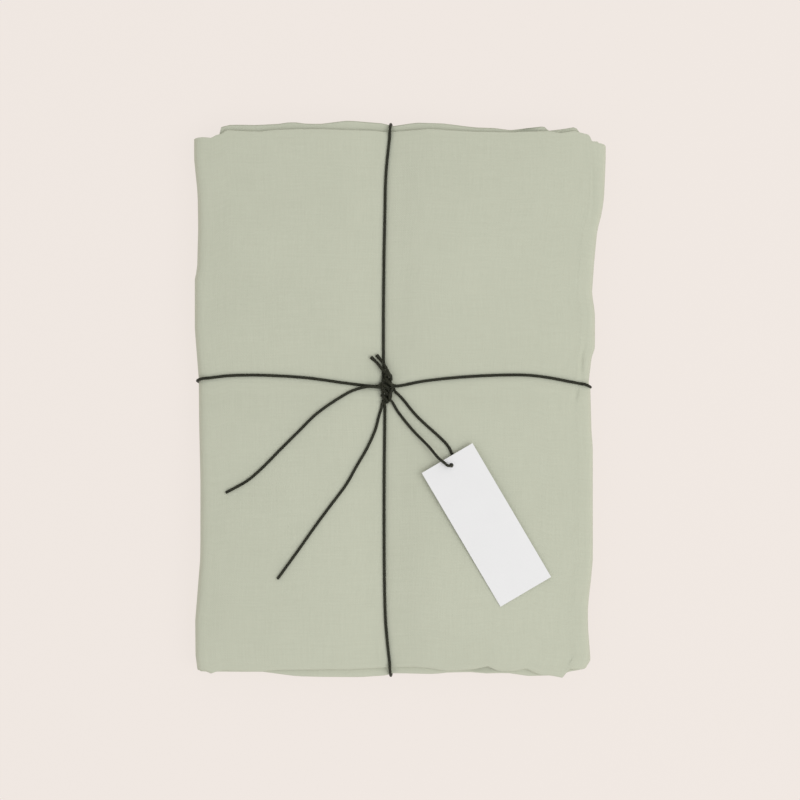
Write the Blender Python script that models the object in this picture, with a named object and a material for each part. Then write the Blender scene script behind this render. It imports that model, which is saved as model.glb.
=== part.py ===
"""A folded linen tablecloth tied like a parcel with waxed cord, with a blank hang tag.

Metres, +Z up. The origin is under the middle of the folded cloth, on the surface that it
lies on. +Y runs along the cloth's long side and the knot is on top. One cord goes round the
cloth both ways: its two halves leave the knot sideways, hook round each other under the
cloth, turn a quarter and come back to the knot from the two short sides.
"""

import math

import bmesh
import bpy
from mathutils import Matrix, Vector
from mathutils.bvhtree import BVHTree

# Folded cloth: a stack of leaves, each of four plies
CLOTH_WIDTH = 0.2876
CLOTH_LENGTH = 0.390
CLOTH_HEIGHT = 0.026
LEAF_COUNT = 8
EDGE_ROLL = 0.006
LEAF_GROOVE = 0.0009
VALLEY_DEPTH = 0.004
VALLEY_REACH = 0.020
SHOULDER_DROP = 0.003
SHOULDER_POWER = 6
ROLL_POWER = 3
# The share of the half side from which the edges start to stand in
EDGE_START = 0.45
# Stations along half a side, as shares of it, clear of the channels
STATION_SHARES = [-1, -0.94, -0.8, -0.6, -0.42, -0.27]

# How far the edges stand in from the cloth's full width and length: (share of the side, inset)
LEFT_INSETS = [(-1, 0.0030), (-0.9, 0.0), (-0.45, 0.0040), (0.02, 0.0035),
               (0.3, 0.0010), (0.85, 0.0), (1, 0.0)]
RIGHT_INSETS = [(-1, 0.0115), (-0.6, 0.0095), (0.02, 0.0115), (0.25, 0.0075),
                (0.45, 0.0085), (0.85, 0.0), (1, 0.0)]
NEAR_INSETS = [(-1, 0.0045), (-0.6, 0.0030), (-0.3, 0.0), (0, 0.0030),
               (0.6, 0.0015), (0.8, 0.0), (1, 0.0060)]
FAR_INSETS = [(-1, 0.0110), (-0.8, 0.0045), (-0.25, 0.0), (0.1, 0.0020),
              (0.45, 0.0065), (0.75, 0.0045), (1, 0.0150)]

# Cord
CORD_DIAMETER = 0.0020
CORD_SIDES = 2
CLEARANCE = 0.00035
FLOOR_GAP = 0.0002

# Where the cord runs: the valleys on top, and the channels under the cloth
VALLEY_X = -0.0113
VALLEY_Y = 0.0130
UNDER_X = -0.0054
UNDER_Y = 0.0106
CHANNEL_FLAT = 0.0027
CHANNEL_FOOT = 0.0070
HITCH_FOOT = 0.0130
HITCH_REACH = 0.0042
# The hitch's route from its foot to the end of the turn: x and y in reaches, and share of the rise
HITCH_ROUTE = [(-2.6, -0.25, 0.25), (-1.35, -0.62, 0.9), (-0.62, -0.78, 1), (0.1, -0.85, 0.85),
               (0.72, -0.72, 0.5), (0.85, -0.1, 0.15), (0.78, 0.62, 0), (0.62, 1.35, 0), (0.25, 2.6, 0)]
# The turns, from on top to underneath, at which the cord's wrap round a side has points
WRAP_DEGREES = (78, 60, 40, 20, 0, -20, -40, -60, -78)
# The shares of a straight run under the cloth at which it has points
STRAIGHT_SHARES = (0.03, 0.18, 0.34, 0.5, 0.66, 0.82, 0.97)
STRAND_SPACING = 0.012
TAIL_SPACING = 0.005
STRING_SPACING = 0.004
END_SPACING = 0.003

# Knots, as plain lumps: centre in plan, and half sizes
TIE_KNOT_AT = (-0.0096, 0.0042)
TIE_KNOT_SIZE = (0.0044, 0.0074, 0.0032)
STRING_KNOT_AT = (-0.0073, 0.0153)
STRING_KNOT_SIZE = (0.0026, 0.0033, 0.0026)
KNOT_SEGMENTS = 16
KNOT_RINGS = 10

# Hang tag
TAG_WIDTH = 0.0410
TAG_LENGTH = 0.1085
TAG_THICKNESS = 0.0005
TAG_HOLE_DIAMETER = 0.0032
TAG_HOLE_INSET = 0.0058
TAG_HOLE_SIDES = 24
TAG_HOLE_AT = (0.0357, -0.0461)
TAG_TURN = math.radians(30.5)
TAG_REST_GAP = 0.0006
STRING_TURN = 0.0025

# The two places where the tag's string leaves the knot, on the line that it lifts about
STRING_EXIT_UPPER = (-0.0036, 0.0054)
STRING_EXIT_LOWER = (-0.0053, -0.0022)
STRING_EXIT_RISE = 0.0023

# Routes in plan. The crosswise cord's are (share of the way from knot to edge, y).
CROSS_LEFT = [(0, 0.0089), (0.08, 0.0090), (0.23, 0.0111), (0.45, 0.0148),
              (0.68, 0.0165), (0.87, 0.0163), (1, 0.0145)]
CROSS_RIGHT = [(0, 0.0090), (0.07, 0.0092), (0.2, 0.0126), (0.41, 0.0155),
               (0.65, 0.0168), (0.8, 0.0155), (1, 0.0105)]
LENGTH_FAR = [(0, -0.0115), (0.15, -0.0115), (0.45, -0.0113), (0.7, -0.0105),
              (0.85, -0.0098), (1, -0.0072)]
LENGTH_NEAR = [(0, -0.0105), (0.3, -0.0110), (0.6, -0.0110), (0.8, -0.0104),
               (0.9, -0.0092), (1, -0.0072)]
TAIL_LEFT = [(-0.0120, 0.0080), (-0.0180, 0.0083), (-0.0225, 0.0084), (-0.0270, 0.0078),
             (-0.0310, 0.0066), (-0.0360, 0.0045), (-0.0478, -0.0027), (-0.0595, -0.0114),
             (-0.0703, -0.0222), (-0.0831, -0.0349), (-0.0948, -0.0468), (-0.1065, -0.0570),
             (-0.1217, -0.0655)]
TAIL_LEFT_ON_CORD = 4
TAIL_LOWER = [(-0.0118, -0.0010), (-0.0130, -0.0060), (-0.0150, -0.0130), (-0.0175, -0.0222),
              (-0.0233, -0.0349), (-0.0302, -0.0468), (-0.0380, -0.0604), (-0.0498, -0.0761),
              (-0.0593, -0.0890), (-0.0703, -0.1046), (-0.0855, -0.1256)]
STRING_UNDER = [(0.0017, 0.0002), (0.0098, -0.0098), (0.0173, -0.0173), (0.0260, -0.0251), (0.0323, -0.0313),
                (0.0355, -0.0364), (0.0364, -0.0405)]
STRING_OVER = [(0.0304, -0.0440), (0.0260, -0.0403), (0.0198, -0.0329), (0.0105, -0.0235), (0.0030, -0.0148),
               (-0.0020, -0.0080)]
# How much of the height over the tag each point of the upper leg keeps
STRING_OVER_RISES = (1, 0.93, 0.5, 0.08, 0, 0)
# Short cut ends of the tag's string: x, y and height over the cloth
STRING_END_LEFT = [(-0.0085, 0.0178, 0.0043), (-0.0117, 0.0200, 0.0040), (-0.0150, 0.0235, 0.0032),
                   (-0.0180, 0.0268, 0.0024), (-0.0207, 0.0293, 0.0019)]
STRING_END_RIGHT = [(-0.0066, 0.0185, 0.0044), (-0.0091, 0.0220, 0.0042), (-0.0117, 0.0252, 0.0040),
                    (-0.0140, 0.0280, 0.0033), (-0.0163, 0.0305, 0.0028)]

LINEN_COLOR = (0.527, 0.546, 0.434)
LINEN_ROUGHNESS = 0.9
CARD_COLOR = (0.80, 0.80, 0.81)
CARD_ROUGHNESS = 0.6
CORD_COLOR = (0.020, 0.021, 0.014)
CORD_ROUGHNESS = 0.45

CORD_RADIUS = CORD_DIAMETER / 2
CORD_LIFT = CORD_RADIUS + CLEARANCE
CORD_OVER_CORD = CORD_DIAMETER + CLEARANCE
CHANNEL_DEPTH = FLOOR_GAP + CORD_DIAMETER + CLEARANCE
HITCH_DEPTH = CHANNEL_DEPTH + CORD_OVER_CORD
HALF_WIDTH = CLOTH_WIDTH / 2
HALF_LENGTH = CLOTH_LENGTH / 2


def clear_scene():
    for item in list(bpy.data.objects):
        bpy.data.objects.remove(item, do_unlink=True)


def material(name, color, roughness):
    made = bpy.data.materials.new(name)
    made.use_nodes = True
    shader = made.node_tree.nodes["Principled BSDF"]
    shader.inputs["Base Color"].default_value = (*color, 1)
    shader.inputs["Roughness"].default_value = roughness
    shader.inputs["Metallic"].default_value = 0
    return made


def add_object(name, data, look, location=(0, 0, 0)):
    made = bpy.data.objects.new(name, data)
    made.location = location
    data.materials.append(look)
    bpy.context.collection.objects.link(made)
    return made


def between(stops, place):
    """Linear reading of a list of (place, value) pairs."""
    for (left, low), (right, high) in zip(stops, stops[1:]):
        if place <= right:
            share = max(0.0, (place - left) / (right - left))
            return low + (high - low) * share
    return stops[-1][1]


# The folded cloth ---------------------------------------------------------------------------


def top_height(x, y):
    """Height of the cloth's upper side: a low crown with a valley under each cord."""
    along = math.exp(-(((x - VALLEY_X) / VALLEY_REACH) ** 2))
    across = math.exp(-(((y - VALLEY_Y) / VALLEY_REACH) ** 2))
    valley = VALLEY_DEPTH * (1 - (1 - along) * (1 - across))
    shoulder = SHOULDER_DROP * ((x / HALF_WIDTH) ** SHOULDER_POWER + (y / HALF_LENGTH) ** SHOULDER_POWER)
    return CLOTH_HEIGHT - valley - shoulder


def under_height(x, y):
    """Height of the cloth's lower side: flat, with a channel for each cord and room for the hitch."""
    dx, dy = abs(x - UNDER_X), abs(y - UNDER_Y)
    channel = CHANNEL_DEPTH * slope(min(dx, dy), CHANNEL_FLAT, CHANNEL_FOOT)
    hitch = HITCH_DEPTH * slope(max(dx, dy), CHANNEL_FOOT, HITCH_FOOT)
    return max(channel, hitch)


def slope(place, flat, foot):
    """1 as far as flat, then falling evenly to 0 at foot."""
    return min(1, max(0, (foot - place) / (foot - flat)))


def side_stations(half, centre):
    """Places along one side of the cloth, closer together at the channel."""
    low = [share * half for share in STATION_SHARES]
    high = [-place for place in reversed(low)]
    steps = [HITCH_FOOT, CHANNEL_FOOT, CHANNEL_FLAT]
    middle = [centre - step for step in steps] + [centre + step for step in reversed(steps)]
    return low + middle + high


def edge_share(place, half):
    """0 in the middle of the cloth, rising to 1 at its edge."""
    return max(0.0, (abs(place) / half - EDGE_START) / (1 - EDGE_START)) ** 2


def plan_point(x, y):
    """Moves a point of the even plan in from the edges, as the real edges stand in."""
    side = LEFT_INSETS if x < 0 else RIGHT_INSETS
    end = NEAR_INSETS if y < 0 else FAR_INSETS
    inset_x = edge_share(x, HALF_WIDTH) * (between(side, y / HALF_LENGTH) + EDGE_ROLL)
    inset_y = edge_share(y, HALF_LENGTH) * (between(end, x / HALF_WIDTH) + EDGE_ROLL)
    return x - math.copysign(inset_x, x), y - math.copysign(inset_y, y)


def roll(share):
    """How far the rounded side stands out at a share of its height, from 0 to 1."""
    return (1 - abs(2 * share - 1) ** ROLL_POWER) ** (1 / ROLL_POWER)


def side_ring(rim, share, groove):
    """One ring round the cloth's side: rim holds (x, y, outward x, outward y)."""
    ring = []
    for x, y, out_x, out_y in rim:
        out = EDGE_ROLL * roll(share) - groove
        low, high = under_height(x, y), top_height(x, y)
        ring.append((x + out_x * out, y + out_y * out, low + (high - low) * share))
    return ring


def rim_of(xs, ys):
    """Round the plan's edge, with the outward direction at each point."""
    last_x, last_y = len(xs) - 1, len(ys) - 1
    walk = [(i, 0) for i in range(last_x)] + [(last_x, j) for j in range(last_y)]
    walk += [(last_x - i, last_y) for i in range(last_x)]
    walk += [(0, last_y - j) for j in range(last_y)]
    rim = []
    for i, j in walk:
        x, y = plan_point(xs[i], ys[j])
        out = Vector(((i == last_x) - (i == 0), (j == last_y) - (j == 0), 0)).normalized()
        rim.append((x, y, out.x, out.y))
    return walk, rim


def add_sheet(shape, xs, ys, height):
    """The cloth's upper or lower side, as a grid of faces."""
    sheet = {}
    for i, even_x in enumerate(xs):
        for j, even_y in enumerate(ys):
            x, y = plan_point(even_x, even_y)
            sheet[i, j] = shape.verts.new((x, y, height(x, y)))
    for i in range(len(xs) - 1):
        for j in range(len(ys) - 1):
            shape.faces.new([sheet[i, j], sheet[i + 1, j], sheet[i + 1, j + 1], sheet[i, j + 1]])
    return sheet


def build_cloth():
    xs = side_stations(HALF_WIDTH, UNDER_X)
    ys = side_stations(HALF_LENGTH, UNDER_Y)
    shape = bmesh.new()
    sheets = [add_sheet(shape, xs, ys, height) for height in (under_height, top_height)]
    walk, rim = rim_of(xs, ys)
    rings = [[sheets[0][place] for place in walk]]
    half_leaves = 2 * LEAF_COUNT
    for step in range(1, half_leaves):
        groove = LEAF_GROOVE if step % 2 == 0 else 0
        ring = side_ring(rim, step / half_leaves, groove)
        rings.append([shape.verts.new(place) for place in ring])
    rings.append([sheets[1][place] for place in walk])
    for lower, upper in zip(rings, rings[1:]):
        for k in range(len(walk)):
            n = (k + 1) % len(walk)
            shape.faces.new([lower[k], lower[n], upper[n], upper[k]])
    bmesh.ops.triangulate(shape, faces=shape.faces)
    bmesh.ops.recalc_face_normals(shape, faces=shape.faces)
    mesh = bpy.data.meshes.new("folded_tablecloth")
    shape.to_mesh(mesh)
    shape.free()
    add_object("folded_tablecloth", mesh, material("sage_linen", LINEN_COLOR, LINEN_ROUGHNESS))
    faces = [tuple(polygon.vertices) for polygon in mesh.polygons]
    return BVHTree.FromPolygons([vertex.co for vertex in mesh.vertices], faces)


# Laying cords -------------------------------------------------------------------------------


def cloth_top(cloth, x, y):
    """Highest point of the cloth within a cord's width of a place in plan."""
    best = 0.0
    for dx in (-CORD_RADIUS, 0, CORD_RADIUS):
        for dy in (-CORD_RADIUS, 0, CORD_RADIUS):
            hit = cloth.ray_cast(Vector((x + dx, y + dy, 1)), Vector((0, 0, -1)))[0]
            if hit:
                best = max(best, hit.z)
    return best


def laid(cloth, x, y, over=0.0):
    return Vector((x, y, cloth_top(cloth, x, y) + CORD_LIFT + over))


def smooth_line(points, spacing):
    """A Catmull-Rom curve through the points, read about every spacing."""
    points = [Vector(p) for p in points]
    guides = [2 * points[0] - points[1], *points, 2 * points[-1] - points[-2]]
    line = [points[0]]
    for a, b, c, d in zip(guides, guides[1:], guides[2:], guides[3:]):
        count = max(1, round((c - b).length / spacing))
        for k in range(1, count + 1):
            t = k / count
            bend = (2 * a - 5 * b + 4 * c - d) * t * t + (3 * b - a - 3 * c + d) * t**3
            line.append((2 * b + (c - a) * t + bend) / 2)
    return line


def outside(lump, point):
    """True where a point is clear of a lump: lump is (centre, half sizes)."""
    centre, half = lump
    scaled = [(p - c) / (h + CLEARANCE) for p, c, h in zip(point, centre, half)]
    return sum(s * s for s in scaled) > 1


def cord_end_clear(lump, point, direction):
    """True where the flat end of a cord is clear of a lump."""
    side = direction.orthogonal().normalized()
    spin = Matrix.Rotation(math.radians(30), 3, direction)
    for _ in range(12):
        if not outside(lump, point + side * CORD_RADIUS):
            return False
        side = spin @ side
    return outside(lump, point)


def cut_at(line, lump):
    """The line from where it comes clear of the lump that it starts in."""
    fine = smooth_line(line, CORD_RADIUS / 4)
    last = 0
    for k in range(len(fine) - 1):
        if not cord_end_clear(lump, fine[k], (fine[k + 1] - fine[k]).normalized()):
            last = k + 1
        if (fine[k] - fine[0]).length > 4 * max(lump[1]):
            break
    start = fine[last]
    travelled = sum((b - a).length for a, b in zip(fine[:last], fine[1 : last + 1]))
    rest, walked = [], 0.0
    for a, b in zip(line, line[1:]):
        walked += (b - a).length
        if walked > travelled + CORD_DIAMETER:
            rest.append(b)
    return [start, *rest]


def cord_object(name, line, look, pivot=(0, 0, 0)):
    """A plain round tube along a line, closed at both ends."""
    curve = bpy.data.curves.new(name, "CURVE")
    curve.dimensions = "3D"
    curve.bevel_depth = CORD_RADIUS
    curve.bevel_resolution = CORD_SIDES
    curve.use_fill_caps = True
    spline = curve.splines.new("POLY")
    spline.points.add(len(line) - 1)
    for point, place in zip(spline.points, line):
        point.co = (*(place - Vector(pivot)), 1)
    return add_object(name, curve, look, pivot)


# The tie ------------------------------------------------------------------------------------


def side_wrap(edge, start, end):
    """Points round the cloth's side from on top to underneath.

    edge is the rim's place along the axis that points outwards, start and end are the places
    along the other axis, on top and underneath. Both come in as (x or y, sign, is it x).
    """
    rim, sign, is_x = edge
    points = []
    for degrees in WRAP_DEGREES:
        turn = math.radians(degrees)
        share = (90 - degrees) / 180
        along = start + (end - start) * share
        low = under_height(*((rim, end) if is_x else (end, rim)))
        high = top_height(*((rim, start) if is_x else (start, rim)))
        middle, half = (high + low) / 2, (high - low) / 2 + CORD_LIFT
        out = rim + sign * (EDGE_ROLL + CORD_LIFT) * math.cos(turn) ** (2 / ROLL_POWER)
        z = middle + half * math.copysign(abs(math.sin(turn)) ** (2 / ROLL_POWER), turn)
        points.append(Vector((out, along, z) if is_x else (along, out, z)))
    return points


def strand_on_top(cloth, stops, start, rim, is_x):
    """The cord on the cloth from the knot to the rim; stops are (share of the way, place across)."""
    line = []
    for share, across in stops:
        place = start + (rim - start) * share
        line.append(Vector((place, across, 0) if is_x else (across, place, 0)))
    line = smooth_line(line, STRAND_SPACING)
    return [laid(cloth, p.x, p.y) for p in line]


def hitch(first):
    """Under the cloth the two halves hook round each other: each passes over once and under once.

    The first half comes from -X and leaves to +Y. The second is the first turned half a turn, so
    that each is high where the other is low.
    """
    low = FLOOR_GAP + CORD_RADIUS
    route = [(-HITCH_FOOT, 0, 0)]
    route += [(x * HITCH_REACH, y * HITCH_REACH, share) for x, y, share in HITCH_ROUTE]
    route += [(0, HITCH_FOOT, 0)]
    side = 1 if first else -1
    line = []
    for x, y, share in route:
        z = low + CORD_OVER_CORD * share
        line.append(Vector((UNDER_X + side * x, UNDER_Y + side * y, z)))
    return line


def build_tie(cloth, look, knot):
    left_rim = plan_point(-HALF_WIDTH, VALLEY_Y)[0]
    right_rim = plan_point(HALF_WIDTH, VALLEY_Y)[0]
    near_rim = plan_point(UNDER_X, -HALF_LENGTH)[1]
    far_rim = plan_point(UNDER_X, HALF_LENGTH)[1]
    knot_x, knot_y = TIE_KNOT_AT
    halves = [
        ("tie_cord_left_to_top", True, (left_rim, -1, CROSS_LEFT), (far_rim, 1, LENGTH_FAR)),
        ("tie_cord_right_to_bottom", False, (right_rim, 1, CROSS_RIGHT), (near_rim, -1, LENGTH_NEAR)),
    ]
    for name, first, (rim_x, sign_x, cross), (rim_y, sign_y, along) in halves:
        out = strand_on_top(cloth, cross, knot_x, rim_x, True)
        back = strand_on_top(cloth, along, knot_y, rim_y, False)
        out = cut_at(out, knot)
        back = cut_at(back, knot)
        under = hitch(first)
        line = out[:-1] + side_wrap((rim_x, sign_x, True), cross[-1][1], UNDER_Y)
        line += straight_run(line[-1], under[0], rim_x, True)
        line += under
        wrap = side_wrap((rim_y, sign_y, False), along[-1][1], UNDER_X)[::-1]
        line += straight_run(under[-1], wrap[0], rim_y, False)
        line += wrap + back[:-1][::-1]
        cord_object(name, line, look)


def straight_run(start, end, rim, is_x):
    """Points along the channel between a side and the hitch."""
    z = FLOOR_GAP + CORD_RADIUS
    low, high = (start.x, end.x) if is_x else (start.y, end.y)
    points = []
    for share in STRAIGHT_SHARES:
        place = low + (high - low) * share
        points.append(Vector((place, UNDER_Y, z) if is_x else (UNDER_X, place, z)))
    return points


def build_tails(cloth, look, knot):
    line = []
    for k, (x, y) in enumerate(TAIL_LEFT):
        line.append(laid(cloth, x, y, CORD_DIAMETER if k < TAIL_LEFT_ON_CORD else 0))
    cord_object("tie_tail_left", cut_at(smooth_line(line, TAIL_SPACING), knot), look)
    line = [laid(cloth, x, y, CORD_DIAMETER if k == 0 else 0) for k, (x, y) in enumerate(TAIL_LOWER)]
    cord_object("tie_tail_lower", cut_at(smooth_line(line, TAIL_SPACING), knot), look)


def build_knot(cloth, name, place, size, look):
    """A plain egg-shaped lump, just clear of the cloth."""
    floor = 0.0
    for dx in (-size[0] / 2, 0, size[0] / 2):
        for dy in (-size[1] / 2, 0, size[1] / 2):
            floor = max(floor, cloth_top(cloth, place[0] + dx, place[1] + dy))
    centre = Vector((*place, floor + CLEARANCE + size[2]))
    shape = bmesh.new()
    bmesh.ops.create_uvsphere(shape, u_segments=KNOT_SEGMENTS, v_segments=KNOT_RINGS, radius=1)
    bmesh.ops.scale(shape, vec=size, verts=shape.verts)
    mesh = bpy.data.meshes.new(name)
    shape.to_mesh(mesh)
    shape.free()
    mesh.shade_smooth()
    add_object(name, mesh, look, centre)
    return centre, size


def build_string_ends(cloth, look, knot):
    ends = (("tag_string_end_left", STRING_END_LEFT), ("tag_string_end_right", STRING_END_RIGHT))
    for name, route in ends:
        line = [laid(cloth, x, y, rise) for x, y, rise in route]
        cord_object(name, cut_at(smooth_line(line, END_SPACING), knot), look)


# The tag and its string ---------------------------------------------------------------------


def tag_frame(cloth):
    """Where the tag's hole is, and the tag's axes: across, down its length, and up from its face."""
    hole_x, hole_y = TAG_HOLE_AT
    string_under = laid(cloth, hole_x, hole_y).z
    hole = Vector((hole_x, hole_y, string_under + STRING_TURN))
    down = Vector((math.sin(TAG_TURN), -math.cos(TAG_TURN), 0))
    across = Vector((math.cos(TAG_TURN), math.sin(TAG_TURN), 0))
    reach = TAG_LENGTH - TAG_HOLE_INSET
    corners = [hole + down * reach + across * side * TAG_WIDTH / 2 for side in (-1, 0, 1)]
    rest = max(cloth_top(cloth, c.x, c.y) for c in corners) + TAG_REST_GAP + TAG_THICKNESS / 2
    tilt = math.asin((hole.z - rest) / reach)
    down = Vector((down.x * math.cos(tilt), down.y * math.cos(tilt), -math.sin(tilt)))
    return hole, across, down, across.cross(-down)


def build_tag(cloth, hole, across, down, up):
    place = Matrix((across, -down, up)).transposed().to_4x4()
    place.translation = hole
    shape = bmesh.new()
    bmesh.ops.create_cube(shape, size=1)
    middle = TAG_HOLE_INSET - TAG_LENGTH / 2
    for vert in shape.verts:
        x, y, z = vert.co
        vert.co = (x * TAG_WIDTH, y * TAG_LENGTH + middle, z * TAG_THICKNESS)
    mesh = bpy.data.meshes.new("hang_tag")
    shape.to_mesh(mesh)
    shape.free()
    tag = add_object("hang_tag", mesh, material("white_card", CARD_COLOR, CARD_ROUGHNESS))
    tag.matrix_world = place
    shape = bmesh.new()
    radius = TAG_HOLE_DIAMETER / 2
    bmesh.ops.create_cone(shape, segments=TAG_HOLE_SIDES, radius1=radius, radius2=radius,
                          depth=TAG_THICKNESS * 4, cap_ends=True)
    mesh = bpy.data.meshes.new("tag_hole_cutter")
    shape.to_mesh(mesh)
    shape.free()
    cutter = bpy.data.objects.new("tag_hole_cutter", mesh)
    bpy.context.collection.objects.link(cutter)
    cutter.matrix_world = place
    cutter.hide_render = True
    cutter.display_type = "WIRE"
    punch = tag.modifiers.new("hole", "BOOLEAN")
    punch.object = cutter
    punch.operation = "DIFFERENCE"


def build_tag_string(cloth, look, hole, up):
    """The loop: from the knot under the tag, up through its hole, and back over it to the knot."""
    upper = Vector((*STRING_EXIT_UPPER, 0))
    lower = Vector((*STRING_EXIT_LOWER, 0))
    height = cloth_top(cloth, *STRING_EXIT_UPPER) + STRING_EXIT_RISE
    upper.z = lower.z = height
    r = STRING_TURN
    below = [laid(cloth, x, y) for x, y in STRING_UNDER]
    heading = hole - below[-1]
    heading.z = 0
    heading.normalize()
    leaving = Vector((STRING_OVER[0][0] - hole.x, STRING_OVER[0][1] - hole.y - r, 0)).normalized()
    line = [upper, *below]
    for turn in (0, 30, 60):
        angle = math.radians(turn)
        line.append(hole - heading * r * (1 - math.sin(angle)) - up * r * math.cos(angle))
    line.append(hole.copy())
    for turn in (30, 60, 90):
        angle = math.radians(turn)
        line.append(hole + leaving * r * (1 - math.cos(angle)) + up * r * math.sin(angle))
    over = [laid(cloth, x, y) for x, y in STRING_OVER]
    for point, share in zip(over, STRING_OVER_RISES):
        point.z += (hole.z + r - point.z) * share
    line += [*over, lower]
    cord_object("tag_string_loop", smooth_line(line, STRING_SPACING), look, (upper + lower) / 2)


def main():
    clear_scene()
    cloth = build_cloth()
    waxed = material("waxed_cord", CORD_COLOR, CORD_ROUGHNESS)
    knot = build_knot(cloth, "tie_knot", TIE_KNOT_AT, TIE_KNOT_SIZE, waxed)
    string_knot = build_knot(cloth, "tag_string_knot", STRING_KNOT_AT, STRING_KNOT_SIZE, waxed)
    build_tie(cloth, waxed, knot)
    build_tails(cloth, waxed, knot)
    build_string_ends(cloth, waxed, string_knot)
    hole, across, down, up = tag_frame(cloth)
    build_tag(cloth, hole, across, down, up)
    build_tag_string(cloth, waxed, hole, up)


main()
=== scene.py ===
"""Looks of a folded linen tablecloth tied like a parcel with waxed cord, with a blank hang tag.

The camera and the cords come first, then the cloth, the knots, the tag's paper and the studio.
Lengths of the cloth, the cords and the camera's view are millimetres until an object is made.
"""

import math

import bpy
import numpy as np
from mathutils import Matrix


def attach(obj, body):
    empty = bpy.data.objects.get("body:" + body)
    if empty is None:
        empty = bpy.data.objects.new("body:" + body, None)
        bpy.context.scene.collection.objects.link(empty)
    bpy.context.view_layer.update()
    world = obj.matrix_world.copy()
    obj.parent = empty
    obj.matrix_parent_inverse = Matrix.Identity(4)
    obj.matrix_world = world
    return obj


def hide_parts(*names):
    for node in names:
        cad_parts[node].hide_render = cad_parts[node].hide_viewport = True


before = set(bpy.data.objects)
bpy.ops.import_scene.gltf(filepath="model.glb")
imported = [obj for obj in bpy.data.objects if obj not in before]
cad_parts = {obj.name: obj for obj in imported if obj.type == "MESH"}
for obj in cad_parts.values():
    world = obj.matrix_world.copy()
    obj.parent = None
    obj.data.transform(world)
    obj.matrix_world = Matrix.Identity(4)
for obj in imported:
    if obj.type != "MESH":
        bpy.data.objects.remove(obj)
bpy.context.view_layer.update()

MM = 0.001

# Camera: straight above the cloth
LENS = 85.0
SENSOR = 36.0
VIEW_WIDTH = 558.4
VIEW_CENTRE_Y = -0.7
VIEW_DISTANCE = VIEW_WIDTH / 2 / (SENSOR / 2 / LENS)

# Folded cloth
HEIGHT = 26.0
HALF_WIDTH = 143.8
HALF_LENGTH = 195.0
LEAF = 3.25  # four plies of one panel with the air round them
PLY = 0.933
LEAF_GAP = 0.45
VALLEY_DEPTH = 4.0
VALLEY_REACH = 20.0
SHOULDER_DROP = 3.0
VALLEY_X = -11.3
VALLEY_Y = 13.0
UNDER_X = -5.4
UNDER_Y = 10.6
CHANNEL_FLAT = 2.7
CHANNEL_FOOT = 7.0
CHANNEL_DEPTH = 2.55
HITCH_DEPTH = 4.9
HITCH_FOOT = 13.0
HITCH_REACH = 4.2

# Cord
CORD_DIAMETER = 2.0
CORD_RADIUS = CORD_DIAMETER / 2
CORD_SIDES = 12
CORD_STEP = 0.8
FLOOR_GAP = 0.2
CORD_OVER_CORD = 2.35
LAY_LENGTH = 7.0
LAY_LOBES = 3
LAY_DEPTH = 0.04
CUT_SHARE = 0.86
TIP_SWELL = 0.36
TIP_REACH = 2.8
JOIN_SHARE = 0.84
JOIN_LENGTH = 4.0
LOOSE_SINK = 0.05
TIGHT_SINK = 0.12
PRESS_DEPTH = 0.9
PRESS_REACH = 2.2
RIDGE_HEIGHT = 0.32
RIDGE_PLACE = 7.0
RIDGE_REACH = 4.0

# Where the folds at the sides start, and how round they are
SPINE_START = 5.9
SPINE_SQUASH = 0.46
ROLL_SQUASH = 0.8
ROUND = 0.8
SIDE_ROUND = 0.58

# Tag: the string's centre in the tag's hole, the tag's upward direction, the string's turn there
HOLE = np.array([35.7, -46.1, 29.49])
TAG_UP = np.array([0.0158, -0.0268, 0.9995])
STRING_TURN = 2.5


# Shared shapes ------------------------------------------------------------------------------


def read(stops, place):
    """Linear reading of (place, value) stops, given in rising order of place."""
    table = np.array(stops, dtype=float)
    return np.interp(place, table[:, 0], table[:, 1])


def smooth_line(points, step):
    """A Catmull-Rom curve through the points, read about every step."""
    p = np.array(points, dtype=float)
    p = np.vstack([2 * p[0] - p[1], p, 2 * p[-1] - p[-2]])
    line = [p[1]]
    for a, b, c, d in zip(p, p[1:], p[2:], p[3:]):
        count = max(1, int(round(np.linalg.norm(c - b) / step)))
        for k in range(1, count + 1):
            t = k / count
            bend = (2 * a - 5 * b + 4 * c - d) * t**2 + (3 * b - a - 3 * c + d) * t**3
            line.append((2 * b + (c - a) * t + bend) / 2)
    return np.array(line)


def even_line(line, step):
    """The same line with its points an even distance apart."""
    gaps = np.linalg.norm(np.diff(line, axis=0), axis=1)
    place = np.concatenate([[0], np.cumsum(gaps)])
    count = max(2, int(round(place[-1] / step)) + 1)
    at = np.linspace(0, place[-1], count)
    return np.stack([np.interp(at, place, line[:, k]) for k in range(3)], axis=1)


# Outlines of the folded cloth: (x, y) along the ends, (y, x) along the sides ------------------

TOP_FAR = [(-143.8, 183), (-132, 182.3), (-129.5, 184), (-125, 185), (-121, 187.8), (-108, 187),
           (-98, 186.7), (-86, 188), (-72, 188.4), (-55, 188.5), (-36, 187.8), (-18, 187.4),
           (-11, 186.4), (-3.5, 186.6), (21, 188.6), (43, 187.1), (54, 186.6), (78, 186.2),
           (88, 186.7), (104, 187), (112, 185.7), (122, 187.2), (125, 186.2), (133, 184.3),
           (135.4, 179.9), (141, 179.7), (143.6, 175.5)]
LOW_FAR = [(-143, 181), (-126.4, 183.2), (-125.2, 189.6), (-123, 190.4), (-118, 191.5),
           (-101, 191.3), (-84, 192.2), (-75, 193.6), (-69, 192.4), (-56, 192), (-36, 194.5),
           (-13, 192.5), (-4.5, 190.6), (11, 193), (31, 192.3), (52, 189.6), (66, 189.3),
           (78, 187.6), (86, 188.8), (100.5, 190.4), (103.7, 187.3), (112, 188.2),
           (122.5, 189.9), (125.6, 185.8), (131, 183), (135, 178.5), (142, 176)]
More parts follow.
